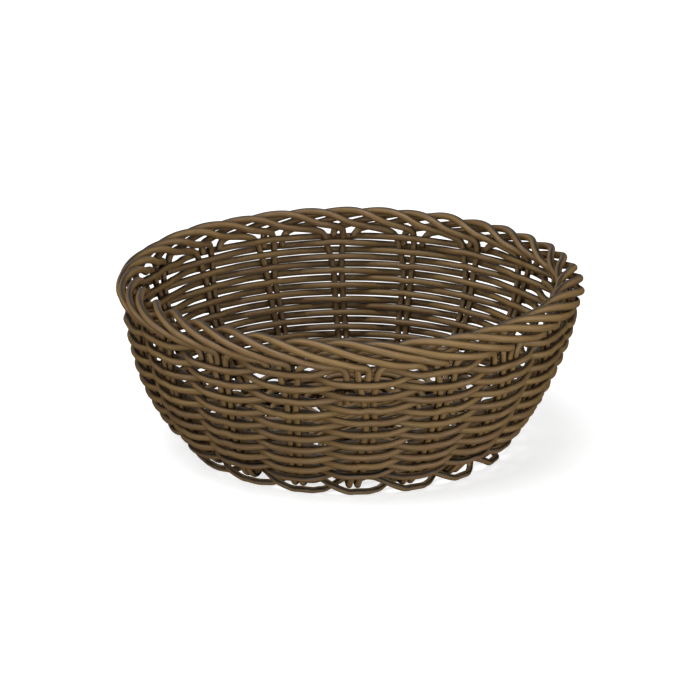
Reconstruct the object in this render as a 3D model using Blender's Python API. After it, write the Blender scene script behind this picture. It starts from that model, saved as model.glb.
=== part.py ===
"""Round woven fruit basket: paired stake cords, plain-woven rows, a twined foot and a rolled border.

Each cord is its own object. A stake cord runs down one side, across the base and up the other side,
and both its ends are rolled into the border. Metres, +Z up, origin under the middle of the foot.
"""

import math

import bpy
from mathutils import Vector

# Cords
STAKE_CORD = 0.0041  # diameter of the cords that run up the wall and make the border
WEAVER_CORD = 0.0035  # diameter of the cords woven round them
FOOT_CORD = 0.0034  # diameter of the two cords twined into the foot
CLEARANCE = 0.00035  # air where two cords lie against each other
END_GAP = 0.0008  # air between the two ends of a woven ring

# Plan
PAIRS = 18  # stakes stand in pairs, evenly round the wall
FIRST_PAIR = math.radians(-88.0)  # where the first pair stands at the foot
WALL_RADIUS = 0.1180  # to the stakes, at the top of the wall
FOOT_RADIUS = 0.0820  # to the stakes, where they turn up from the base

# Wall
WALL_ROWS = 19
ROW_AIR = 0.00055  # between two rows where they cross
LOWER_OUT, LOWER_UP = 0.1786, 0.185  # the outline's lower handle, as shares of its rise
UPPER_OUT, UPPER_UP = 0.89, 0.52  # its upper handle, as shares of its widening and of its rise
TOP_SPREAD = 0.0055  # half the distance between a pair's stakes at the top row
SPREAD_ROWS = 6  # rows over which a pair opens from touching to TOP_SPREAD
LEAN = math.radians(1.2)  # how far round the pairs bow out at mid wall
TOP_LEAN = math.radians(2.6)  # how far round they have swung at the wall's top

# Base
BASE_ROWS = 7
BASE_ROW_AIR = 0.0014  # between two base rows
FOOT_BEND = 0.0080  # from the outermost base row out to the foot, where the stakes bend upwards
BASE_LIFT = 0.00145  # from a foot cord's thickness up to the underside of the stakes across the base

# Foot
FOOT_UP = 0.0032  # length up the stakes at which the foot is twined round them
FOOT_REST = 0.13  # share of a half turn that a foot cord lies flat to either side of its lowest point
FOOT_BACK = 0.72  # share of a half turn at which it has one more point, above the stakes

# Border: where a stake goes, as strand steps round from where it would stand if all the stakes were
# evenly spaced, then diameters out from the wall's radius and up from the wall's top.
ENTRY_LEAN = math.radians(2.5)  # how far round the evenly spaced stakes stand
BORDER_PATH = (
    (0.30, -0.45, 0.85),
    (0.70, -0.85, 1.30),
    (1.10, -1.45, 1.90),
    (1.50, -1.25, 2.80),
    (1.90, -0.45, 3.20),
    (2.35, 0.50, 3.05),
    (2.80, 1.15, 2.55),
    (3.25, 1.45, 1.95),
    (3.65, 1.40, 1.45),
    (4.05, 1.10, 0.95),
)
TAIL_OVER = (1.00, 0.65)  # the tail's next point, diameters out and up: halfway to where it is tucked in
TAIL_IN = (0.15, 0.35)  # and its point just above the row it is tucked behind
TAIL_BESIDE = TOP_SPREAD  # from a stake to the tail tucked in beside it
TAIL_ROWS = 2  # rows that the tails reach
TAIL_PAST = 0.15  # row pitches that a tail ends below the row it is tucked behind

SIDES = 4  # of a cord's section
STAKE_COLOUR = (0.280, 0.192, 0.105)
WEAVER_COLOUR = (0.245, 0.165, 0.088)
FOOT_COLOUR = (0.220, 0.150, 0.080)
ROUGHNESS = 0.45

# Worked out from the sizes above
PAIR_STEP = 2 * math.pi / PAIRS
STRAND_STEP = PAIR_STEP / 2
SIDE_BY_SIDE = STAKE_CORD + CLEARANCE
TOUCHING = SIDE_BY_SIDE / 2  # from a pair's middle to either stake where the two lie together
FLOAT = (STAKE_CORD + WEAVER_CORD) / 2 + CLEARANCE  # from the stakes to a weaver that passes them
FLAT = 0.55 * STAKE_CORD  # a weaver stays flat this far past the outer stakes of a pair
TWIST_RADIUS = (STAKE_CORD + FOOT_CORD) / 2 + CLEARANCE  # of the foot's two cords round the stakes
ROW_PITCH = WEAVER_CORD + ROW_AIR
FOOT_RISE = FOOT_UP + TWIST_RADIUS + (FOOT_CORD + WEAVER_CORD) / 2 + CLEARANCE
WALL_LENGTH = FOOT_RISE + WALL_ROWS * ROW_PITCH  # up the stakes, from the foot past the top row
BASE_ROW_PITCH = WEAVER_CORD + BASE_ROW_AIR
LAST_BASE_ROW = FOOT_RADIUS - FOOT_BEND
FIRST_BASE_ROW = LAST_BASE_ROW - (BASE_ROWS - 1) * BASE_ROW_PITCH
BASE_LINE = FOOT_CORD + BASE_LIFT + STAKE_CORD / 2  # height of the stakes across the base


def clear_scene():
    for thing in list(bpy.data.objects):
        bpy.data.objects.remove(thing, do_unlink=True)


def material(name, colour):
    made = bpy.data.materials.new(name)
    made.use_nodes = True
    shader = made.node_tree.nodes["Principled BSDF"]
    shader.inputs["Base Color"].default_value = (*colour, 1.0)
    shader.inputs["Roughness"].default_value = ROUGHNESS
    shader.inputs["Metallic"].default_value = 0.0
    return made


def cord(name, points, diameter, colour, twist="Z_UP", tilt=0.0):
    """A cord along the points, closed at both ends."""
    curve = bpy.data.curves.new(name, "CURVE")
    curve.dimensions = "3D"
    curve.twist_mode = twist
    curve.bevel_depth = diameter / 2
    curve.bevel_resolution = SIDES // 2 - 2
    curve.use_fill_caps = True
    curve.materials.append(material(name + "_material", colour))
    spline = curve.splines.new("POLY")
    spline.points.add(len(points) - 1)
    for spot, point in zip(spline.points, points):
        spot.co = (*point, 1.0)
        spot.tilt = tilt
    bpy.context.scene.collection.objects.link(bpy.data.objects.new(name, curve))


def around(radius, angle, height):
    return Vector((radius * math.cos(angle), radius * math.sin(angle), height))


def smooth(share):
    share = min(max(share, 0.0), 1.0)
    return share * share * (3 - 2 * share)


def pair_angle(pair):
    return FIRST_PAIR + pair * PAIR_STEP


# ---- the wall's outline: a curve with two handles, from the foot line up ----


def outline(rise, steps=90):
    """(radius, height above the foot line) of the stakes, from the foot to the wall's top."""
    flare = WALL_RADIUS - FOOT_RADIUS
    lower = (LOWER_OUT * rise, LOWER_UP * rise)
    upper = (UPPER_OUT * flare, UPPER_UP * rise)
    handles = ((0.0, 0.0), lower, upper, (flare, rise))
    spots = []
    for step in range(steps + 1):
        share = step / steps
        rest = 1 - share
        weights = (rest**3, 3 * rest**2 * share, 3 * rest * share**2, share**3)
        out = sum(weight * handle[0] for weight, handle in zip(weights, handles))
        up = sum(weight * handle[1] for weight, handle in zip(weights, handles))
        spots.append((FOOT_RADIUS + out, up))
    return spots


def rise_for(length):
    """The rise at which the outline is as long as the rows on it need."""
    low, high = 0.0, length
    while high - low > 1e-9:
        middle = (low + high) / 2
        spots = outline(middle)
        if sum(math.dist(a, b) for a, b in zip(spots, spots[1:])) < length:
            low = middle
        else:
            high = middle
    return high


RISE = rise_for(WALL_LENGTH)
OUTLINE = outline(RISE)


def on_outline(up):
    """(radius, height above the foot line, outward radial part, outward vertical part) at a length up."""
    walked = 0.0
    for a, b in zip(OUTLINE, OUTLINE[1:]):
        piece = math.dist(a, b)
        if walked + piece >= up or b is OUTLINE[-1]:
            share = (up - walked) / piece
            along = ((b[0] - a[0]) / piece, (b[1] - a[1]) / piece)
            radius, height = (low + share * (high - low) for low, high in zip(a, b))
            return radius, height, along[1], -along[0]
        walked += piece


# The foot cords' lowest flats lie on the ground, which sets the height of the stakes above it.
FOOT_LINE = (
    FOOT_CORD / 2 * math.cos(math.pi / SIDES)
    + TWIST_RADIUS * math.cos(math.pi * FOOT_REST)
    - on_outline(FOOT_UP)[1]
)


def on_wall(up):
    radius, height, outward, upward = on_outline(up)
    return radius, FOOT_LINE + height, outward, upward


def lean_at(up):
    """How far round the pairs have swung at a length up the wall."""
    share = up / WALL_LENGTH
    return LEAN * math.sin(math.pi * share) + TOP_LEAN * share**2


def spread_at(up):
    """Half the distance between the stakes of a pair at a length up the wall."""
    opening = 1 - (WALL_LENGTH - up) / (SPREAD_ROWS * ROW_PITCH)
    return TOUCHING + (TOP_SPREAD - TOUCHING) * smooth(opening) ** 1.3


# ---- stakes ----


def wall_stations():
    """Lengths up the wall at which a stake has a point: closer together where the pairs open."""
    opening = SPREAD_ROWS * ROW_PITCH
    plain = WALL_LENGTH - opening
    return [plain * part / 6 for part in range(6)] + [plain + opening * part / 3 for part in range(4)]


def wall_run(pair, side):
    """Up the wall from the foot; side is -1 or 1, for the stake's place in its pair."""
    spots = []
    for up in wall_stations():
        radius, height, _, _ = on_wall(up)
        spots.append(around(radius, pair_angle(pair) + lean_at(up) + side * spread_at(up) / radius, height))
    return spots


def border_run(pair, side):
    """Over the rim: up inside, across the crest and down outside, in under the next strand."""
    entry = pair_angle(pair) + ENTRY_LEAN + side * STRAND_STEP / 2
    top = FOOT_LINE + RISE
    return [
        around(WALL_RADIUS + out * STAKE_CORD, entry + turn * STRAND_STEP, top + up * STAKE_CORD)
        for turn, out, up in BORDER_PATH
    ]


def tail_run(pair, side):
    """On from the border, down beside a later stake, to behind the first row that passes outside it."""
    last = pair + (3 if side > 0 else 2)
    left = pair_angle(pair) + ENTRY_LEAN + side * STRAND_STEP / 2 + BORDER_PATH[-1][0] * STRAND_STEP
    tucked = pair_angle(last) + lean_at(WALL_LENGTH) - (side * TOP_SPREAD + TAIL_BESIDE) / WALL_RADIUS
    top = FOOT_LINE + RISE
    spots = [
        around(WALL_RADIUS + out * STAKE_CORD, angle, top + up * STAKE_CORD)
        for angle, (out, up) in (((left + tucked) / 2, TAIL_OVER), (tucked, TAIL_IN))
    ]
    for row in range(1 if last % 2 else 2):
        radius, height, _, _ = on_wall(WALL_LENGTH - (row + 0.5 + TAIL_PAST) * ROW_PITCH)
        spots.append(around(radius, tucked, height))
    return spots


def base_run(pair, side):
    """Out across the base, from inside its first row to just past its last one."""
    radii = (FIRST_BASE_ROW - BASE_ROW_PITCH, LAST_BASE_ROW + WEAVER_CORD / 2)
    return [around(radius, pair_angle(pair) + side * TOUCHING / radius, BASE_LINE) for radius in radii]


def crossing_corner(pair, side, middle, along, across):
    """Where a cord leaves the crossing. The one on the inside of the bend turns first, as in a mitre."""
    target = around(FIRST_BASE_ROW - BASE_ROW_PITCH, pair_angle(pair), BASE_LINE) - middle
    bend = math.atan2(target.dot(across), target.dot(along))
    return middle + side * TOUCHING * (across - along * math.tan(bend / 2))


def stake_half(pair, side, middle, along, across):
    """Half a stake cord, from the crossing to its tip in the border."""
    corner = crossing_corner(pair, side, middle, along, across)
    rising = wall_run(pair, side) + border_run(pair, side) + tail_run(pair, side)
    return [corner] + base_run(pair, side) + rising


def stake_cords():
    """The cords cross in doubles, one group laid over the other, and fan out to the pairs."""
    doubles = PAIRS // 2
    groups = (doubles - doubles // 2, doubles // 2)
    made = 0
    for layer, count in enumerate(groups):
        first = layer * groups[0]
        axis = pair_angle(first + (count - 1) / 2)
        along, across = around(1, axis, 0), around(1, axis + math.pi / 2, 0)
        reach = (groups[1 - layer] + 0.5) * SIDE_BY_SIDE + STAKE_CORD / 2
        height = Vector((0, 0, BASE_LINE + (2 * layer - 1) * TOUCHING))
        for double in range(count):
            sideways = across * (2 * double - (count - 1)) * SIDE_BY_SIDE + height
            near, far = first + double, first + doubles + count - 1 - double
            for side in (-1, 1):
                going = stake_half(near, side, sideways + along * reach, along, across)
                coming = stake_half(far, -side, sideways - along * reach, -along, -across)
                made += 1
                cord(f"stake_{made:02d}", coming[::-1] + going, STAKE_CORD, STAKE_COLOUR, twist="MINIMUM")


# ---- woven rows ----


def join_pair(row):
    """The pair behind which a row's two ends meet: one that the row passes on the inside."""
    return row % 2 + 2 * (row // 2 % 3) - 2


def woven_ring(name, row, place, before, after):
    """A row that goes outside one pair and inside the next. place(pair, shift, side) is a point of it,
    and it is flat from the angle before a pair to the angle after it."""
    join = join_pair(row)
    spots = [place(join, after, -1)]
    for pair in range(join + 1, join + PAIRS):
        side = 1 if (pair + row) % 2 else -1
        spots += [place(pair, -before, side), place(pair, after, side)]
    spots.append(place(join, -before, -1))
    middle = (spots[0] + spots[-1]) / 2
    half_gap = (spots[0] - spots[-1]).normalized() * END_GAP / 2
    cord(name, [middle + half_gap] + spots + [middle - half_gap], WEAVER_CORD, WEAVER_COLOUR)


def wall_row(row):
    up = WALL_LENGTH - (row + 0.5) * ROW_PITCH
    radius, height, outward, upward = on_wall(up)

    def place(pair, shift, side):
        angle = pair_angle(pair) + lean_at(up) + shift
        return around(radius + side * FLOAT * outward, angle, height + side * FLOAT * upward)

    after = (spread_at(up) + FLAT) / radius
    before = after + (TAIL_BESIDE / radius if row < TAIL_ROWS else 0.0)
    woven_ring(f"wall_row_{row + 1:02d}", row, place, before, after)


def base_row(row):
    radius = FIRST_BASE_ROW + row * BASE_ROW_PITCH

    def place(pair, shift, side):
        return around(radius, pair_angle(pair) + shift, BASE_LINE - side * FLOAT)

    flat = (TOUCHING + 0.6 * FLAT) / radius
    woven_ring(f"base_row_{row + 1:02d}", row, place, flat, flat)


# ---- foot ----


def foot_cord(number):
    """One of the two cords twined round the pairs, half a turn from each pair to the next."""
    line_radius, line_height, outward, upward = on_wall(FOOT_UP)
    first = math.atan2(upward, outward)
    lowest = 0.5 + first / math.pi
    half_group = (TOUCHING + 0.8 * FLAT) / FOOT_RADIUS
    free = PAIR_STEP - 2 * half_group
    stops = [(-half_group, 0.0), (half_group, 0.0)]
    for share in (lowest - FOOT_REST, lowest + FOOT_REST, FOOT_BACK):
        stops.append((half_group + free * share, share))
    spots = []
    for pair in range(PAIRS):
        for shift, share in stops:
            twist = first + math.pi * (pair + number - share)
            radius = line_radius + TWIST_RADIUS * math.cos(twist)
            height = line_height + TWIST_RADIUS * math.sin(twist)
            spots.append(around(radius, pair_angle(pair) + lean_at(FOOT_UP) + shift, height))
    spots.append(spots[0] + (spots[-1] - spots[0]).normalized() * END_GAP)
    cord(f"foot_cord_{number + 1}", spots, FOOT_CORD, FOOT_COLOUR, tilt=math.pi / SIDES)


def main():
    clear_scene()
    stake_cords()
    for row in range(WALL_ROWS):
        wall_row(row)
    for row in range(BASE_ROWS):
        base_row(row)
    for number in range(2):
        foot_cord(number)


main()
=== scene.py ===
"""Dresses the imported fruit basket: every cord as a smooth, slightly uneven plastic rattan cord.

Lengths are in metres, +Z is up, and the basket stands on z = 0 in the frame's own place.
"""

import math
import random

import bmesh
import bpy
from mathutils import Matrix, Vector


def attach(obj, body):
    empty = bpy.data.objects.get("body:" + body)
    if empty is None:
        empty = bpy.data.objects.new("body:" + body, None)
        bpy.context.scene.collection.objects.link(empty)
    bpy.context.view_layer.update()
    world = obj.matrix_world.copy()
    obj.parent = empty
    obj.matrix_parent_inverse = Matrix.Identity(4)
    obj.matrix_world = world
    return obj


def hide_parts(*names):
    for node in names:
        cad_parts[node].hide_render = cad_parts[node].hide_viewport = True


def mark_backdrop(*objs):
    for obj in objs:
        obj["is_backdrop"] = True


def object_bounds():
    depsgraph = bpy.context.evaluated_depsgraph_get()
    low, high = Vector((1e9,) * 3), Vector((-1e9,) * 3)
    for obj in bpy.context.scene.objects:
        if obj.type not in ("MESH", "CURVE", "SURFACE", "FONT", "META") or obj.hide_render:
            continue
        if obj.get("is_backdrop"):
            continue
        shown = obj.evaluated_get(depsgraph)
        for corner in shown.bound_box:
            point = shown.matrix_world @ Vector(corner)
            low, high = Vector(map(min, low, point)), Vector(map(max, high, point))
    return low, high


bl_info = {
    "name": "Woven Fruit Basket",
    "version": (1, 0, 0),
    "blender": (4, 5, 0),
    "location": "View3D > Sidebar > Basket",
    "description": "Weaves a round fruit basket from plastic rattan cord around its packed frame",
    "category": "Add Mesh",
}

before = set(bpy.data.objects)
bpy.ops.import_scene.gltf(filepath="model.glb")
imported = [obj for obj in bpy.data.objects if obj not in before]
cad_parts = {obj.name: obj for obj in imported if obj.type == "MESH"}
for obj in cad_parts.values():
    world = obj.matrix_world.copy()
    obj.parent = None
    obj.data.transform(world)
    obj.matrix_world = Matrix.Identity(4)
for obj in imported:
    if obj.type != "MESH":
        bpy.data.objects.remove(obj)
CAD_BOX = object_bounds()

# How the basket is laid out
PAIRS = 18
WALL_ROWS = 19
BASE_ROWS = 7
PAIR_STEP = 2 * math.pi / PAIRS
STRAND_STEP = PAIR_STEP / 2
FIRST_PAIR = math.radians(-88.0)

# A stake in the border: strand steps round from its even place, then diameters out and up
BORDER_PATH = (
    (0.30, -0.45, 0.85),
    (0.70, -0.85, 1.30),
    (1.10, -1.45, 1.90),
    (1.50, -1.25, 2.80),
    (1.90, -0.45, 3.20),
    (2.35, 0.50, 3.05),
    (2.80, 1.15, 2.55),
    (3.25, 1.45, 1.95),
    (3.65, 1.40, 1.45),
    (4.05, 1.10, 0.95),
)
ENTRY_LEAN = math.radians(2.5)  # how far round the evenly spaced stakes stand
TAIL_OVER = (1.00, 0.65)  # the tail's next point, diameters out and up: halfway to where it is tucked in
TAIL_IN = (0.20, 0.40)  # and its point just above the row it is tucked behind
TAIL_SLANT = 0.0028  # how far short of its place the slanting tail still is there
TAIL_BESIDE = 0.0055  # from a stake to the tail tucked in beside it
TAIL_ROWS = 2  # rows that the tails reach
TAIL_PAST = 0.15  # row pitches that a tail ends below the row it is tucked behind
FOOT_UP = 0.0032  # length up the stakes at which the foot is twined round them
FOOT_REST = 0.13  # share of a half turn that a foot cord lies flat to either side of its lowest point
FOOT_BACK = 0.72  # share of a half turn at which it has one more point, above the stakes
FOOT_BEND = 0.0080  # from the outermost base row out to the foot
BASE_LIFT = 0.00145  # from a foot cord's thickness up to the underside of the stakes across the base
SPREAD_ROWS = 6  # rows over which a pair opens
LOWER_OUT, LOWER_UP = 0.1786, 0.185  # the outline's lower handle, as shares of its rise
UPPER_OUT, UPPER_UP = 0.89, 0.52  # its upper handle, as shares of its widening and of its rise
END_GAP = 0.0008  # air between the two ends of a ring

# How uneven the handwork is
SEED = 4127
PAIR_SWING = 0.9  # degrees that a pair strays from its place
FRONT_LEAN = 2.0  # degrees more that the pairs lean at the front than at the sides
BORDER_PLAY = 0.12  # diameters that a border strand strays from its path
SAG = 0.0012  # a row sits this much lower where it passes outside, and higher inside
FLOAT_PLAY = 0.0007  # how far one pass strays from its row
ROW_DRIFT = 0.00035  # how far a row wanders up and down
FOOT_SHIFT = -0.0018  # how far the body stands to one side under the rim
RIM_WAVE = 0.0007  # how far the rim rises and falls

STRAND_PLAY = 0.04  # diameters more, each point of a strand by itself
LATE_PLAY = 0.08  # strand steps that a border strand runs early or late
SWELL = 0.025  # how much a cord's thickness varies
RIM_SPREAD = 0.004  # how far the rim is from round, as a share of its radius
SETTLES_FROM, SETTLES_OVER = 0.030, 0.055  # height where the rim's unevenness starts, and grows over

# Each kind of piece draws its unevenness from its own seeds, after SEED
BORDER_SEEDS, DRIFT_SEEDS, WALL_SEEDS, BASE_SEEDS, CORD_SEEDS = 100, 300, 400, 500, 700
WALL_INDEX, BASE_INDEX, FOOT_INDEX = 20, 40, 50  # where each group's cords start, after the stakes

# How the cords are made
FLATTENED = 0.55  # stake diameters to either side of a stake that a cord passing it lies straight
BASE_FLATTENED, FOOT_FLATTENED = 0.6, 0.8  # shares of that in the base and at the foot
WALL_FLOAT = 0.0037  # from the stakes out to a row that passes them, pulled tight
WALL_STAKE = 0.88  # a stake's thickness on the wall, as a share of what it is in the border
THICKENS_FROM, THICKENS_OVER = 0.078, 0.006  # height where it starts to thicken, and by which it has
POINT_SPACING = 0.0016
CORNER_ROUNDS = 5  # times that a stake's corners are rounded
CROSSING_SHARES = (0.2, 0.4, 0.5, 0.6, 0.8)  # of the way from one pair to the next
WALL_FOOT, WALL_TURN = 0.012, 0.010  # height where the base starts to turn up, and over which it has
OPEN_OUT, OPEN_DOWN = 0.55, 0.80  # outward and downward parts of a cord's open face in the base
OPEN_MORE = 0.40  # more outward than that on the wall, where it has no downward part
CORD_START = 1.7  # metres between the starts of two cords in the grain
TONE_WANDER = 0.22  # how far the tone strays along a cord

# The looks' colours are multiplied by these, group by group: painted shade that makes the cords lower down
# darker
STAKE_SHADE, WALL_SHADE, BASE_SHADE, FOOT_SHADE = 1.0, 0.93, 0.90, 0.85
# Painted shade: the near-black that the clefts between cords are darkened towards
CLEFT_PAINTED_SHADE = (0.006, 0.004, 0.002, 1.0)
PALE = 1.35  # how much lighter than the tan the fibres are

FLOOR_GREY, FLOOR_GLOW, FLOOR_RADIUS = 0.60, 0.72, 6.0

# Studio: name, where it shines from, strength and how wide it is in degrees
STUDIO_LIGHTS = (
    ("Overhead", (-0.20, -0.15, 1.00), 2.0, 40),
    ("Front", (0.05, -1.00, 0.08), 1.6, 40),
    ("Right", (1.00, -0.45, 0.15), 1.4, 40),
    ("Left", (-1.00, -0.30, 0.45), 0.9, 40),
    ("Back", (-0.10, 1.00, 0.60), 0.4, 50),
    ("Table bounce", (0.0, -0.80, -0.60), 0.15, 60),
)
WORLD_STRENGTH = 0.03


# ---------------------------------------------------------------- settings


class BasketSizes(bpy.types.PropertyGroup):
    """The cords and the outline of the basket."""

    stake_cord: bpy.props.FloatProperty(
        name="Stake cord", description="Diameter of the upright cords", default=0.0041, unit="LENGTH"
    )
    weaver_cord: bpy.props.FloatProperty(
        name="Weaver cord", description="Diameter of the woven cords", default=0.0035, unit="LENGTH"
    )
    foot_cord: bpy.props.FloatProperty(
        name="Foot cord", description="Diameter of the twined cords", default=0.0034, unit="LENGTH"
    )
    clearance: bpy.props.FloatProperty(
        name="Clearance", description="Air between touching cords", default=0.00035, unit="LENGTH"
    )
    row_air: bpy.props.FloatProperty(
        name="Row air", description="Air between two rows where they cross", default=0.00055, unit="LENGTH"
    )
    wall_radius: bpy.props.FloatProperty(
        name="Wall radius", description="To the stakes at the wall's top", default=0.1180, unit="LENGTH"
    )
    foot_radius: bpy.props.FloatProperty(
        name="Foot radius", description="To the stakes at the foot", default=0.0820, unit="LENGTH"
    )
    top_spread: bpy.props.FloatProperty(
        name="Top spread", description="Half the gap of a pair at the top row", default=0.0055, unit="LENGTH"
    )
    lean: bpy.props.FloatProperty(
        name="Lean", description="Bow of the pairs at mid wall", default=math.radians(1.2), unit="ROTATION"
    )
    top_lean: bpy.props.FloatProperty(
        name="Top lean",
        description="Swing of the pairs at the border",
        default=math.radians(2.6),
        unit="ROTATION",
    )
    base_row_air: bpy.props.FloatProperty(
        name="Base row air", description="Air between two rows of the base", default=0.0014, unit="LENGTH"
    )
    plump: bpy.props.FloatProperty(
        name="Plump",
        description="Thickness of a woven cord, as a share of the weaver cord's",
        default=1.09,
        min=0.8,
        max=1.2,
    )
    unevenness: bpy.props.FloatProperty(
        name="Unevenness", description="Of the handwork: 0 is perfectly even", default=1.0, min=0.0, max=1.5
    )


class BasketLooks(bpy.types.PropertyGroup):
    """Colours and finish of the plastic rattan."""

    tan: bpy.props.FloatVectorProperty(
        name="Tan", description="The yellower cords", subtype="COLOR", size=3, default=(0.250, 0.155, 0.058)
    )
    rose: bpy.props.FloatVectorProperty(
        name="Rose brown",
        description="The pinker cords",
        subtype="COLOR",
        size=3,
        default=(0.205, 0.122, 0.052),
    )
    dark: bpy.props.FloatVectorProperty(
        name="Dark brown",
        description="Streaks and worn-in dirt",
        subtype="COLOR",
        size=3,
        default=(0.075, 0.043, 0.017),
    )
    # Strength of the painted shade that darkens the clefts between the cords
    painted_cleft_shade: bpy.props.FloatProperty(
        name="Painted cleft shade", description="How dark the clefts between the cords are", default=1.0, min=0.0, max=1.0
    )
    roughness: bpy.props.FloatProperty(
        name="Roughness", description="Of the satin cord", default=0.46, min=0.0, max=1.0, subtype="FACTOR"
    )


class BasketStage(bpy.types.PropertyGroup):
    """Camera and studio."""

    distance: bpy.props.FloatProperty(
        name="Distance", description="From the camera to the basket", default=1.9, unit="LENGTH"
    )
    elevation: bpy.props.FloatProperty(
        name="Elevation",
        description="Of the camera above the table",
        default=math.radians(19.2),
        unit="ROTATION",
    )
    aim_height: bpy.props.FloatProperty(
        name="Aim height", description="Height that the camera looks at", default=0.0505, unit="LENGTH"
    )
    lens: bpy.props.FloatProperty(
        name="Lens", description="Focal length in millimetres", default=179.7, subtype="DISTANCE_CAMERA"
    )


# ---------------------------------------------------------------- small helpers


def around(radius, angle, height):
    return Vector((radius * math.cos(angle), radius * math.sin(angle), height))


def smooth(share):
    share = min(max(share, 0.0), 1.0)
    return share * share * (3 - 2 * share)


def wander(rng, waves):
    """A repeatable, slowly changing value in about -1 to 1, round the circle or along a length."""
    parts = [(rng.uniform(0.5, 1.0) / len(waves), wave, rng.uniform(0, 2 * math.pi)) for wave in waves]
    return lambda x: sum(size * math.sin(wave * x + phase) for size, wave, phase in parts) * 1.4


def through(knots, per_span):
    """A smooth run of points through the knots."""
    ends = [knots[0] * 2 - knots[1]] + list(knots) + [knots[-1] * 2 - knots[-2]]
    spots = []
    for a, b, c, d in zip(ends, ends[1:], ends[2:], ends[3:]):
        for step in range(per_span):
            t = step / per_span
            square, cube = 2 * a - 5 * b + 4 * c - d, 3 * b - a - 3 * c + d
            spots.append(0.5 * (2 * b + (c - a) * t + square * t**2 + cube * t**3))
    return spots + [knots[-1]]


def evened(points, spacing):
    """The same run with its points evenly spaced."""
    lengths = [(b - a).length for a, b in zip(points, points[1:])]
    total = sum(lengths)
    count = max(2, round(total / spacing))
    spots, index, walked = [], 0, 0.0
    for step in range(count + 1):
        target = total * step / count
        while index < len(lengths) - 1 and walked + lengths[index] < target:
            walked += lengths[index]
            index += 1
        spots.append(points[index].lerp(points[index + 1], (target - walked) / lengths[index]))
    return spots


def eased(points, rounds):
    """The same run with its corners rounded, ends kept."""
    for _ in range(rounds):
        inner = [(a + 2 * b + c) / 4 for a, b, c in zip(points, points[1:], points[2:])]
        points = [points[0]] + inner + [points[-1]]
    return points


# ---------------------------------------------------------------- where the cords run


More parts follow.
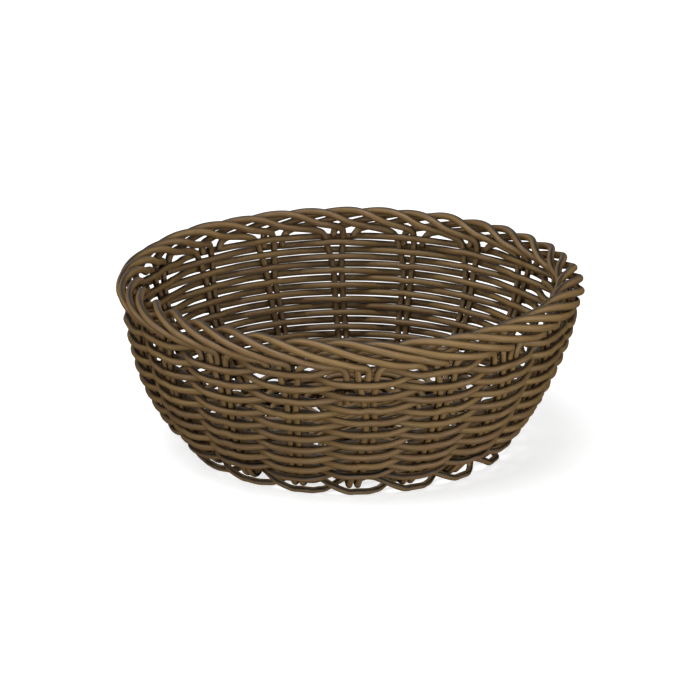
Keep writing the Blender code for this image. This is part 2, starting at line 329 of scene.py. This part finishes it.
class Basket:
    """Works out the path of every cord from the sizes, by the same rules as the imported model."""

    def __init__(self, sizes):
        self.stake = sizes.stake_cord
        self.weaver = sizes.weaver_cord
        self.woven = sizes.weaver_cord * sizes.plump
        self.twined = sizes.foot_cord
        self.air = sizes.clearance
        self.wall_radius = sizes.wall_radius
        self.foot_radius = sizes.foot_radius
        self.top_spread = sizes.top_spread
        self.lean = sizes.lean
        self.top_lean = sizes.top_lean
        self.uneven = sizes.unevenness
        self.side_by_side = self.stake + self.air
        self.touching = self.side_by_side / 2
        self.float = (self.stake + self.weaver) / 2 + self.air
        self.flat = FLATTENED * self.stake
        self.twist = (self.stake + self.twined) / 2 + self.air
        self.pitch = self.weaver + sizes.row_air
        foot_rise = FOOT_UP + self.twist + (self.twined + self.weaver) / 2 + self.air
        self.length = foot_rise + WALL_ROWS * self.pitch
        self.base_pitch = self.weaver + sizes.base_row_air
        self.last_base_row = self.foot_radius - FOOT_BEND
        self.first_base_row = self.last_base_row - (BASE_ROWS - 1) * self.base_pitch
        self.base_line = self.twined + BASE_LIFT + self.stake / 2
        self.rise = self.rise_for(self.length)
        self.spots = self.outline(self.rise)
        lowest = self.twined / 2 * math.cos(math.pi / 4) + self.twist * math.cos(math.pi * FOOT_REST)
        self.foot_line = lowest - self.on_outline(FOOT_UP)[1]
        self.swing = [wander(random.Random(SEED + pair), (35, 60, 110)) for pair in range(PAIRS)]

    def outline(self, rise, steps=90):
        """(radius, height above the foot line) of the stakes, from the foot to the wall's top."""
        flare = self.wall_radius - self.foot_radius
        lower, upper = (LOWER_OUT * rise, LOWER_UP * rise), (UPPER_OUT * flare, UPPER_UP * rise)
        handles = ((0.0, 0.0), lower, upper, (flare, rise))
        spots = []
        for step in range(steps + 1):
            share = step / steps
            rest = 1 - share
            weights = (rest**3, 3 * rest**2 * share, 3 * rest * share**2, share**3)
            out = sum(weight * handle[0] for weight, handle in zip(weights, handles))
            up = sum(weight * handle[1] for weight, handle in zip(weights, handles))
            spots.append((self.foot_radius + out, up))
        return spots

    def rise_for(self, length):
        """The rise at which the outline is as long as the rows on it need."""
        low, high = 0.0, length
        while high - low > 1e-9:
            middle = (low + high) / 2
            spots = self.outline(middle)
            if sum(math.dist(a, b) for a, b in zip(spots, spots[1:])) < length:
                low = middle
            else:
                high = middle
        return high

    def on_outline(self, up):
        """(radius, height above the foot line, outward radial part, outward vertical part)."""
        walked = 0.0
        for a, b in zip(self.spots, self.spots[1:]):
            piece = math.dist(a, b)
            if walked + piece >= up or b is self.spots[-1]:
                share = (up - walked) / piece
                along = ((b[0] - a[0]) / piece, (b[1] - a[1]) / piece)
                radius, height = (low + share * (high - low) for low, high in zip(a, b))
                return radius, height, along[1], -along[0]
            walked += piece

    def on_wall(self, up):
        radius, height, outward, upward = self.on_outline(up)
        return radius, self.foot_line + height, outward, upward

    def pair_angle(self, pair):
        return FIRST_PAIR + pair * PAIR_STEP

    def pair_line(self, pair, up):
        """The direction of a pair's middle at a length up the wall, with its own unevenness."""
        share = up / self.length
        lean = self.lean * math.sin(math.pi * share) + self.top_lean * share**2
        bow = math.sin(math.pi * min(max(share, 0.0), 1.0))
        front = FRONT_LEAN * bow * -math.sin(self.pair_angle(pair))
        stray = PAIR_SWING * self.swing[pair % PAIRS](up) * bow**0.5
        return self.pair_angle(pair) + lean + math.radians(front + stray) * self.uneven

    def spread(self, up):
        """Half the distance between the stakes of a pair at a length up the wall."""
        opening = 1 - (self.length - up) / (SPREAD_ROWS * self.pitch)
        return self.touching + (self.top_spread - self.touching) * smooth(opening) ** 1.3

    # ---- stakes

    def wall_run(self, pair, side):
        opening = SPREAD_ROWS * self.pitch
        plain = self.length - opening
        stations = [plain * part / 7 for part in range(7)] + [plain + opening * part / 3 for part in range(4)]
        spots = []
        for up in stations:
            radius, height, _, _ = self.on_wall(up)
            spots.append(around(radius, self.pair_line(pair, up) + side * self.spread(up) / radius, height))
        return spots

    def border_run(self, pair, side):
        """Over the rim: up inside, across the crest, down outside, and in under the next strand."""
        rng = random.Random(SEED + BORDER_SEEDS + 2 * (pair % PAIRS) + (side > 0))
        entry = self.pair_angle(pair) + ENTRY_LEAN + side * STRAND_STEP / 2
        high, wide, late = (rng.uniform(-1, 1) * self.uneven for _ in range(3))
        spots = []
        for turn, out, up in BORDER_PATH:
            loose = smooth(turn / 0.6) * smooth((4.3 - turn) / 0.8)
            out += loose * (BORDER_PLAY * wide + STRAND_PLAY * rng.uniform(-1, 1) * self.uneven)
            up += loose * (BORDER_PLAY * high + STRAND_PLAY * rng.uniform(-1, 1) * self.uneven)
            spots.append(self.above_wall(entry + (turn + loose * LATE_PLAY * late) * STRAND_STEP, out, up))
        return spots

    def above_wall(self, angle, out, up):
        top = self.foot_line + self.rise
        return around(self.wall_radius + out * self.stake, angle, top + up * self.stake)

    def tail_run(self, pair, side):
        """On from the border, down beside a later stake, to behind the first row that passes outside it."""
        last = pair + (3 if side > 0 else 2)
        left = self.pair_angle(pair) + ENTRY_LEAN + side * STRAND_STEP / 2 + BORDER_PATH[-1][0] * STRAND_STEP
        tucked = self.pair_line(last, self.length) - (side * self.top_spread + TAIL_BESIDE) / self.wall_radius
        slant = TAIL_SLANT / self.wall_radius if side > 0 else 0.0
        spots = [self.above_wall((left + tucked) / 2, *TAIL_OVER), self.above_wall(tucked - slant, *TAIL_IN)]
        for row in range(1 if last % 2 else 2):
            radius, height, _, _ = self.on_wall(self.length - (row + 0.5 + TAIL_PAST) * self.pitch)
            spots.append(around(radius, tucked, height))
        return spots

    def base_run(self, pair, side):
        radii = (self.first_base_row - self.base_pitch, self.last_base_row + self.weaver / 2)
        return [around(r, self.pair_angle(pair) + side * self.touching / r, self.base_line) for r in radii]

    def crossing_corner(self, pair, side, middle, along, across):
        """Where a cord leaves the crossing. The one on the inside of the bend turns first."""
        target = around(self.first_base_row - self.base_pitch, self.pair_angle(pair), self.base_line) - middle
        bend = math.atan2(target.dot(across), target.dot(along))
        return middle + side * self.touching * (across - along * math.tan(bend / 2))

    def stake_half(self, pair, side, middle, along, across):
        corner = self.crossing_corner(pair, side, middle, along, across)
        flat = [corner] + self.base_run(pair, side)
        rising = self.wall_run(pair, side) + self.border_run(pair, side) + self.tail_run(pair, side)
        return flat + through(rising, 6)

    def stakes(self):
        """(number, path) of each stake: they cross in doubles, one group laid over the other."""
        doubles = PAIRS // 2
        groups = (doubles - doubles // 2, doubles // 2)
        number = 0
        for layer, count in enumerate(groups):
            first = layer * groups[0]
            axis = self.pair_angle(first + (count - 1) / 2)
            along, across = around(1, axis, 0), around(1, axis + math.pi / 2, 0)
            reach = (groups[1 - layer] + 0.5) * self.side_by_side + self.stake / 2
            height = Vector((0, 0, self.base_line + (2 * layer - 1) * self.touching))
            for double in range(count):
                middle = across * (2 * double - (count - 1)) * self.side_by_side + height
                near, far = first + double, first + doubles + count - 1 - double
                for side in (-1, 1):
                    going = self.stake_half(near, side, middle + along * reach, along, across)
                    coming = self.stake_half(far, -side, middle - along * reach, -along, -across)
                    number += 1
                    yield number, eased(evened(coming[::-1] + going, POINT_SPACING), CORNER_ROUNDS)

    # ---- woven rows

    def ring(self, row, place, before, after, seed):
        """A row that goes outside one pair and inside the next, its ends meeting inside a pair."""
        join = row % 2 + 2 * (row // 2 % 3) - 2
        rng = random.Random(SEED + seed + row)
        bulges = [rng.uniform(-1, 1) * self.uneven for _ in range(PAIRS + 2)]
        spots = []
        for index, pair in enumerate(range(join, join + PAIRS)):
            side = 1 if (pair + row) % 2 else -1
            here, following = place(pair)[0], place(pair + 1)[0]
            start, stop = here + after, following - before
            hold = [(here - before, 0.0), (here - before / 2, 0.75), (here, 1.0)]
            hold += [(here + after / 2, 0.75), (start, 0.0)]
            if index == 0:
                hold = hold[2:]
            for angle, firm in hold:
                spots.append(place(pair)[1](angle, side, bulges[index] * firm))
            for share in CROSSING_SHARES:
                depth = side * math.cos(math.pi * share)
                spots.append(place(pair)[1](start + (stop - start) * share, depth, 0.0))
        last = place(join + PAIRS)
        side = 1 if (join + PAIRS + row) % 2 else -1
        for angle in (last[0] - before, last[0] - before / 2, last[0]):
            spots.append(last[1](angle, side, 0.0))
        return evened(through(spots, 5), POINT_SPACING)[:-1]

    def wall_row(self, row):
        up = self.length - (row + 0.5) * self.pitch
        drift = wander(random.Random(SEED + DRIFT_SEEDS + row), (1, 2, 3, 5, 8))
        middle, _, _, downhill = self.on_wall(up)
        sag = SAG + WALL_FLOAT * downhill
        after = (self.spread(up) + self.flat) / middle
        before = after + (TAIL_BESIDE / middle if row < TAIL_ROWS else 0.0)

        def place(pair):
            def spot(angle, side, play):
                level = up - side * sag + (ROW_DRIFT * drift(angle) + FLOAT_PLAY * play) * self.uneven
                radius, height, outward, upward = self.on_wall(level)
                away = side * WALL_FLOAT
                return around(radius + away * outward, angle, height + away * upward)

            return self.pair_line(pair, up), spot

        return self.ring(row, place, before, after, WALL_SEEDS)

    def base_row(self, row):
        radius = self.first_base_row + row * self.base_pitch
        flat = (self.touching + BASE_FLATTENED * self.flat) / radius

        def place(pair):
            return self.pair_angle(pair), lambda angle, side, play: around(
                radius, angle, self.base_line - side * self.float
            )

        return self.ring(row, place, flat, flat, BASE_SEEDS)

    # ---- foot

    def foot_cord(self, number):
        """One of the two cords twined round the pairs, half a turn from each pair to the next."""
        line_radius, line_height, outward, upward = self.on_wall(FOOT_UP)
        first = math.atan2(upward, outward)
        lowest = 0.5 + first / math.pi
        half_group = (self.touching + FOOT_FLATTENED * self.flat) / self.foot_radius
        free = PAIR_STEP - 2 * half_group
        stops = [(-half_group, 0.0), (0.0, 0.0), (half_group, 0.0)]
        for share in (lowest - FOOT_REST, lowest, lowest + FOOT_REST, FOOT_BACK):
            stops.append((half_group + free * share, share))
        spots = []
        for pair in range(PAIRS // 2, PAIRS // 2 + PAIRS):
            line = self.pair_line(pair, FOOT_UP)
            for shift, share in stops:
                twist = first + math.pi * (pair + number - share)
                radius = line_radius + self.twist * math.cos(twist)
                height = line_height + self.twist * math.sin(twist)
                spots.append(around(radius, line + shift, max(height, self.twined / 2)))
        spots.append(spots[0] + (spots[-1] - spots[0]).normalized() * END_GAP)
        return evened(through(spots, 5), POINT_SPACING)


# ---------------------------------------------------------------- cords as pieces


def settle(point, uneven):
    """The basket has sagged a little to one side as it stands, and its rim is not quite even."""
    angle = math.atan2(point.y, point.x)
    high = smooth((point.z - SETTLES_FROM) / SETTLES_OVER)
    shift = FOOT_SHIFT * (1 - high) * smooth(point.z / 0.006)
    rim = high * (RIM_WAVE * math.sin(2 * angle + 0.7) + 0.5 * RIM_WAVE * math.sin(3 * angle + 2.1))
    spread = 1 + high * RIM_SPREAD * math.sin(2 * angle + 2.6) * uneven
    return Vector((point.x * spread + shift * uneven, point.y * spread, point.z + rim * uneven))


def stake_girth(point):
    """The stakes are stretched a little thinner on the wall than in the border."""
    return WALL_STAKE + (1 - WALL_STAKE) * smooth((point.z - THICKENS_FROM) / THICKENS_OVER)


def lay_cord(name, path, diameter, finish, index, uneven, girth=None):
    """A round cord along the path, as a closed mesh with its length and girth as a UV map."""
    rng = random.Random(SEED + CORD_SEEDS + index)
    path = [settle(point, uneven) for point in path]
    length = sum((b - a).length for a, b in zip(path, path[1:]))
    curve = bpy.data.curves.new(name, "CURVE")
    curve.dimensions = "3D"
    curve.twist_mode = "MINIMUM"
    curve.bevel_depth = diameter / 2
    curve.bevel_resolution = 5
    curve.use_fill_caps = True
    spline = curve.splines.new("POLY")
    spline.points.add(len(path) - 1)
    swell = wander(rng, (90, 210, 400))
    for step, (spot, point) in enumerate(zip(spline.points, path)):
        spot.co = (*point, 1.0)
        plain = girth(point) if girth else 1
        spot.radius = (1 + SWELL * swell(length * step / len(path)) * uneven) * plain
    guide = bpy.data.objects.new(name + " guide", curve)
    bpy.context.scene.collection.objects.link(guide)
    mesh = bpy.data.meshes.new_from_object(guide)
    bpy.data.objects.remove(guide, do_unlink=True)
    bpy.data.curves.remove(curve)
    mesh.name = name
    measure(mesh, length, index)
    piece = bpy.data.objects.new(name, mesh)
    bpy.context.scene.collection.objects.link(piece)
    mesh.materials.clear()
    mesh.materials.append(finish)
    tint(mesh, rng, length)
    # Marks where the painted shade darkens the clefts between cords
    mark_painted_cleft_shade(mesh)
    close_ends(mesh)
    return piece


def measure(mesh, length, index):
    """Turns the map's first number into metres along the cord, each cord starting at its own place."""
    layer = mesh.uv_layers.active
    layer.name = "Cord"
    for corner in layer.data:
        corner.uv.x = corner.uv.x * length + CORD_START * index


def mark_painted_cleft_shade(mesh):
    """Marks the sides of a cord, which face its neighbours, as the mask of the painted shade in the clefts: 0
    is its open face, 1 is its side.
    """
    clefts = mesh.attributes.new("CleftShade", "FLOAT", "POINT")
    for vertex in mesh.vertices:
        out = Vector((vertex.co.x, vertex.co.y, 0.0)).normalized()
        leaning = smooth((vertex.co.z - WALL_FOOT) / WALL_TURN)
        face = out * (OPEN_OUT + OPEN_MORE * leaning) - Vector((0.0, 0.0, 1.0)) * (1 - leaning) * OPEN_DOWN
        facing = abs(vertex.normal.dot(face.normalized()))
        clefts.data[vertex.index].value = 1 - facing


def tint(mesh, rng, length):
    """Each end of a cord has its own tone, and the tone wanders along it."""
    tones = mesh.attributes.new("Tone", "FLOAT", "POINT")
    ends = rng.random(), rng.random()
    walk = wander(rng, (14, 31, 57))
    along = [0.0] * len(mesh.vertices)
    layer = mesh.uv_layers.active.data
    low = min(corner.uv.x for corner in layer)
    for loop, corner in zip(mesh.loops, layer):
        along[loop.vertex_index] = corner.uv.x - low
    for number, place in enumerate(along):
        share = place / length
        tones.data[number].value = ends[0] + (ends[1] - ends[0]) * smooth(share) + TONE_WANDER * walk(place)


def close_ends(mesh):
    """Merges the end caps to the cord and shades it smooth."""
    shape = bmesh.new()
    shape.from_mesh(mesh)
    bmesh.ops.remove_doubles(shape, verts=shape.verts, dist=1e-6)
    for face in shape.faces:
        face.smooth = len(face.verts) <= 4
    shape.to_mesh(mesh)
    shape.free()


# ---------------------------------------------------------------- shader maths


class Value:
    """A number socket of a material that can be used in sums."""

    def __init__(self, nodes, socket):
        self.nodes = nodes
        self.socket = socket

    def sum(self, operation, first, second):
        return self.nodes.add("ShaderNodeMath", {"operation": operation}, {0: first, 1: second})

    def __add__(self, other):
        return self.sum("ADD", self, other)

    def __radd__(self, other):
        return self.sum("ADD", other, self)

    def __sub__(self, other):
        return self.sum("SUBTRACT", self, other)

    def __mul__(self, other):
        return self.sum("MULTIPLY", self, other)

    def of(self, operation):
        return self.nodes.add("ShaderNodeMath", {"operation": operation}, {0: self})


class Nodes:
    """The nodes of one material."""

    def __init__(self, material):
        material.use_nodes = True
        self.tree = material.node_tree
        self.shader = self.tree.nodes["Principled BSDF"]

    def add(self, kind, settings, inputs, output=0):
        """One node of this kind, with its settings first and then the values or links of its sockets."""
        node = self.tree.nodes.new(kind)
        for name, setting in settings.items():
            setattr(node, name, setting)
        for name, value in inputs.items():
            self.feed(node, name, value)
        return Value(self, node.outputs[output])

    def feed(self, node, name, value):
        if isinstance(value, Value):
            self.tree.links.new(value.socket, node.inputs[name])
        else:
            node.inputs[name].default_value = value

    def noise(self, place, detail=2.0, rough=0.5):
        inputs = {"Vector": place, "Scale": 1.0, "Detail": detail, "Roughness": rough}
        return self.add("ShaderNodeTexNoise", {"noise_dimensions": "3D"}, inputs)

    def mix(self, share, first, second):
        return self.add("ShaderNodeMix", {"data_type": "RGBA"}, {0: share, 6: first, 7: second}, output=2)

    def shift(self, value, low, high):
        """0 up to low, 1 from high on, and evenly between them."""
        return self.add("ShaderNodeMapRange", {"clamp": True}, {0: value, 1: low, 2: high})


def rattan(name, looks, shade):
    """Satin plastic rattan: two browns by cord, fine lengthwise grain and darker streaks, with painted shade
    in the clefts between cords and on the lower groups.
    """
    finish = bpy.data.materials.new(name)
    nodes = Nodes(finish)
    cord = nodes.add("ShaderNodeUVMap", {"uv_map": "Cord"}, {})
    parts = nodes.tree.nodes.new("ShaderNodeSeparateXYZ")
    nodes.tree.links.new(cord.socket, parts.inputs[0])
    along, girth = Value(nodes, parts.outputs[0]), Value(nodes, parts.outputs[1])
    turn = girth * (2 * math.pi)
    across, up = turn.of("COSINE"), turn.of("SINE")

    def place(around_scale, along_scale):
        inputs = {0: across * around_scale, 1: up * around_scale, 2: along * along_scale}
        return nodes.add("ShaderNodeCombineXYZ", {}, inputs)

    grain = nodes.noise(place(2.6, 90.0), detail=3.0, rough=0.6)
    fibre = nodes.noise(place(6.5, 160.0), detail=2.0)
    patch = nodes.noise(place(0.6, 55.0), detail=2.0)
    speck = nodes.noise(place(1.7, 700.0), detail=3.0, rough=0.65)
    tone = nodes.add("ShaderNodeAttribute", {"attribute_name": "Tone"}, {}, output=2)

    browns = looks.tan, looks.rose, looks.dark
    # Painted shade: each group's colours are darkened by its own factor, more for the cords lower down
    tan, rose, dark = ((*(shade * part for part in colour), 1.0) for colour in browns)
    hue = nodes.shift(tone + (patch - 0.5) * 0.9, 0.15, 0.85)
    body = nodes.mix(hue, tan, rose)
    streak = nodes.shift(grain, 0.50, 0.74) * 0.55
    body = nodes.mix(streak, body, dark)
    light = nodes.shift(fibre, 0.52, 0.75) * 0.30
    pale = tuple(min(1.0, PALE * part) for part in tan[:3]) + (1.0,)
    body = nodes.mix(light, body, pale)
    body = nodes.mix(nodes.shift(speck, 0.62, 0.80) * 0.35, body, dark)
    # Painted shade: the sides of the cords, in the clefts between them, are darkened towards near-black
    cleft = nodes.add("ShaderNodeAttribute", {"attribute_name": "CleftShade"}, {}, output=2)
    body = nodes.mix(nodes.shift(cleft, 0.30, 0.85) * looks.painted_cleft_shade, body, CLEFT_PAINTED_SHADE)
    nodes.feed(nodes.shader, "Base Color", body)
    nodes.feed(nodes.shader, "Roughness", looks.roughness + (grain - 0.5) * 0.35)
    relief = grain + fibre * 0.6 + speck * 0.4
    bump = nodes.add("ShaderNodeBump", {}, {"Strength": 0.35, "Distance": 0.0003, "Height": relief})
    nodes.feed(nodes.shader, "Normal", bump)
    nodes.shader.inputs["Specular IOR Level"].default_value = 0.32
    return finish


# ---------------------------------------------------------------- operators


class BASKET_OT_stakes(bpy.types.Operator):
    """Lay the stake cords across the base, up the wall and over the border"""

    bl_idname = "basket.stakes"
    bl_label = "Stakes and Border"

    def execute(self, context):
        scene = context.scene
        basket = Basket(scene.basket_sizes)
        finish = rattan("Stake rattan", scene.basket_looks, STAKE_SHADE)
        for number, path in basket.stakes():
            name = f"rattan_stake_{number:02d}"
            piece = lay_cord(name, path, basket.stake, finish, number, basket.uneven, stake_girth)
            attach(piece, "root")
            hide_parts(f"stake_{number:02d}")
        return {"FINISHED"}


class BASKET_OT_wall(bpy.types.Operator):
    """Weave the rows of the wall round the stakes"""

    bl_idname = "basket.wall"
    bl_label = "Wall Rows"

    def execute(self, context):
        scene = context.scene
        basket = Basket(scene.basket_sizes)
        finish = rattan("Wall rattan", scene.basket_looks, WALL_SHADE)
        for row in range(WALL_ROWS):
            path = basket.wall_row(row)
            name = f"rattan_wall_row_{row + 1:02d}"
            piece = lay_cord(name, path, basket.woven, finish, WALL_INDEX + row, basket.uneven)
            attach(piece, "root")
            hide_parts(f"wall_row_{row + 1:02d}")
        return {"FINISHED"}


class BASKET_OT_base(bpy.types.Operator):
    """Weave the rows of the base round the stakes"""

    bl_idname = "basket.base"
    bl_label = "Base Rows"

    def execute(self, context):
        scene = context.scene
        basket = Basket(scene.basket_sizes)
        finish = rattan("Base rattan", scene.basket_looks, BASE_SHADE)
        for row in range(BASE_ROWS):
            path = basket.base_row(row)
            name = f"rattan_base_row_{row + 1:02d}"
            piece = lay_cord(name, path, basket.woven, finish, BASE_INDEX + row, basket.uneven)
            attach(piece, "root")
            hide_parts(f"base_row_{row + 1:02d}")
        return {"FINISHED"}


class BASKET_OT_foot(bpy.types.Operator):
    """Twine the two foot cords round the stakes"""

    bl_idname = "basket.foot"
    bl_label = "Foot Cords"

    def execute(self, context):
        scene = context.scene
        basket = Basket(scene.basket_sizes)
        finish = rattan("Foot rattan", scene.basket_looks, FOOT_SHADE)
        for number in range(2):
            path = basket.foot_cord(number)
            name = f"rattan_foot_cord_{number + 1}"
            piece = lay_cord(name, path, basket.twined, finish, FOOT_INDEX + number, basket.uneven)
            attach(piece, "root")
            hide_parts(f"foot_cord_{number + 1}")
        return {"FINISHED"}


class BASKET_OT_stage(bpy.types.Operator):
    """Set out the floor, the studio lights and the camera"""

    bl_idname = "basket.stage"
    bl_label = "Stage"

    def execute(self, context):
        scene = context.scene
        stage = scene.basket_stage
        scene.view_settings.view_transform = "Standard"
        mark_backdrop(make_floor(), *make_lights())
        make_world(scene)
        make_camera(scene, stage)
        return {"FINISHED"}


def make_floor():
    shape = bmesh.new()
    bmesh.ops.create_circle(shape, cap_ends=True, cap_tris=False, segments=96, radius=FLOOR_RADIUS)
    mesh = bpy.data.meshes.new("Floor")
    shape.to_mesh(mesh)
    shape.free()
    finish = bpy.data.materials.new("White paper")
    finish.use_nodes = True
    shader = finish.node_tree.nodes["Principled BSDF"]
    shader.inputs["Base Color"].default_value = (FLOOR_GREY, FLOOR_GREY, FLOOR_GREY, 1.0)
    shader.inputs["Roughness"].default_value = 0.9
    shader.inputs["Specular IOR Level"].default_value = 0.0
    shader.inputs["Emission Color"].default_value = (1.0, 1.0, 1.0, 1.0)
    shader.inputs["Emission Strength"].default_value = FLOOR_GLOW
    mesh.materials.append(finish)
    floor = bpy.data.objects.new("Floor", mesh)
    floor.visible_diffuse = False
    floor.visible_glossy = False
    floor.visible_shadow = False
    bpy.context.scene.collection.objects.link(floor)
    return floor


def make_lights():
    made = []
    for name, source, strength, width in STUDIO_LIGHTS:
        lamp = bpy.data.lights.new(name, "SUN")
        lamp.energy = strength
        lamp.angle = math.radians(width)
        thing = bpy.data.objects.new(name, lamp)
        thing.location = source
        thing.rotation_euler = (-Vector(source)).to_track_quat("-Z", "Y").to_euler()
        bpy.context.scene.collection.objects.link(thing)
        made.append(thing)
    return made


def make_world(scene):
    world = bpy.data.worlds.new("White studio")
    world.use_nodes = True
    sky = world.node_tree.nodes["Background"]
    sky.inputs["Color"].default_value = (1.0, 1.0, 1.0, 1.0)
    sky.inputs["Strength"].default_value = WORLD_STRENGTH
    scene.world = world


def make_camera(scene, stage):
    lens = bpy.data.cameras.new("Camera")
    lens.lens = stage.lens
    lens.sensor_width = 36.0
    camera = bpy.data.objects.new("Camera", lens)
    away = Vector((0, -math.cos(stage.elevation), math.sin(stage.elevation))) * stage.distance
    aim = Vector((0, 0, stage.aim_height))
    camera.location = aim + away
    camera.rotation_euler = (-away).to_track_quat("-Z", "Y").to_euler()
    scene.collection.objects.link(camera)
    scene.camera = camera


class BASKET_PT_panel(bpy.types.Panel):
    bl_label = "Woven Fruit Basket"
    bl_idname = "BASKET_PT_panel"
    bl_space_type = "VIEW_3D"
    bl_region_type = "UI"
    bl_category = "Basket"

    def draw(self, context):
        for group in (context.scene.basket_sizes, context.scene.basket_looks, context.scene.basket_stage):
            box = self.layout.box()
            for name in group.__annotations__:
                box.prop(group, name)
        for operator in OPERATORS:
            self.layout.operator(operator.bl_idname)


OPERATORS = (BASKET_OT_stakes, BASKET_OT_wall, BASKET_OT_base, BASKET_OT_foot, BASKET_OT_stage)
CLASSES = (BasketSizes, BasketLooks, BasketStage, *OPERATORS, BASKET_PT_panel)


def register():
    for made in CLASSES:
        bpy.utils.register_class(made)
    bpy.types.Scene.basket_sizes = bpy.props.PointerProperty(type=BasketSizes)
    bpy.types.Scene.basket_looks = bpy.props.PointerProperty(type=BasketLooks)
    bpy.types.Scene.basket_stage = bpy.props.PointerProperty(type=BasketStage)


def unregister():
    del bpy.types.Scene.basket_sizes
    del bpy.types.Scene.basket_looks
    del bpy.types.Scene.basket_stage
    for made in reversed(CLASSES):
        bpy.utils.unregister_class(made)


def main():
    register()
    bpy.ops.basket.stakes()
    bpy.ops.basket.wall()
    bpy.ops.basket.base()
    bpy.ops.basket.foot()
    bpy.ops.basket.stage()
    boxes = {"cad": CAD_BOX, "visual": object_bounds()}
    {name: [list(corner) for corner in box] for name, box in boxes.items()}


if __name__ == "__main__":
    main()
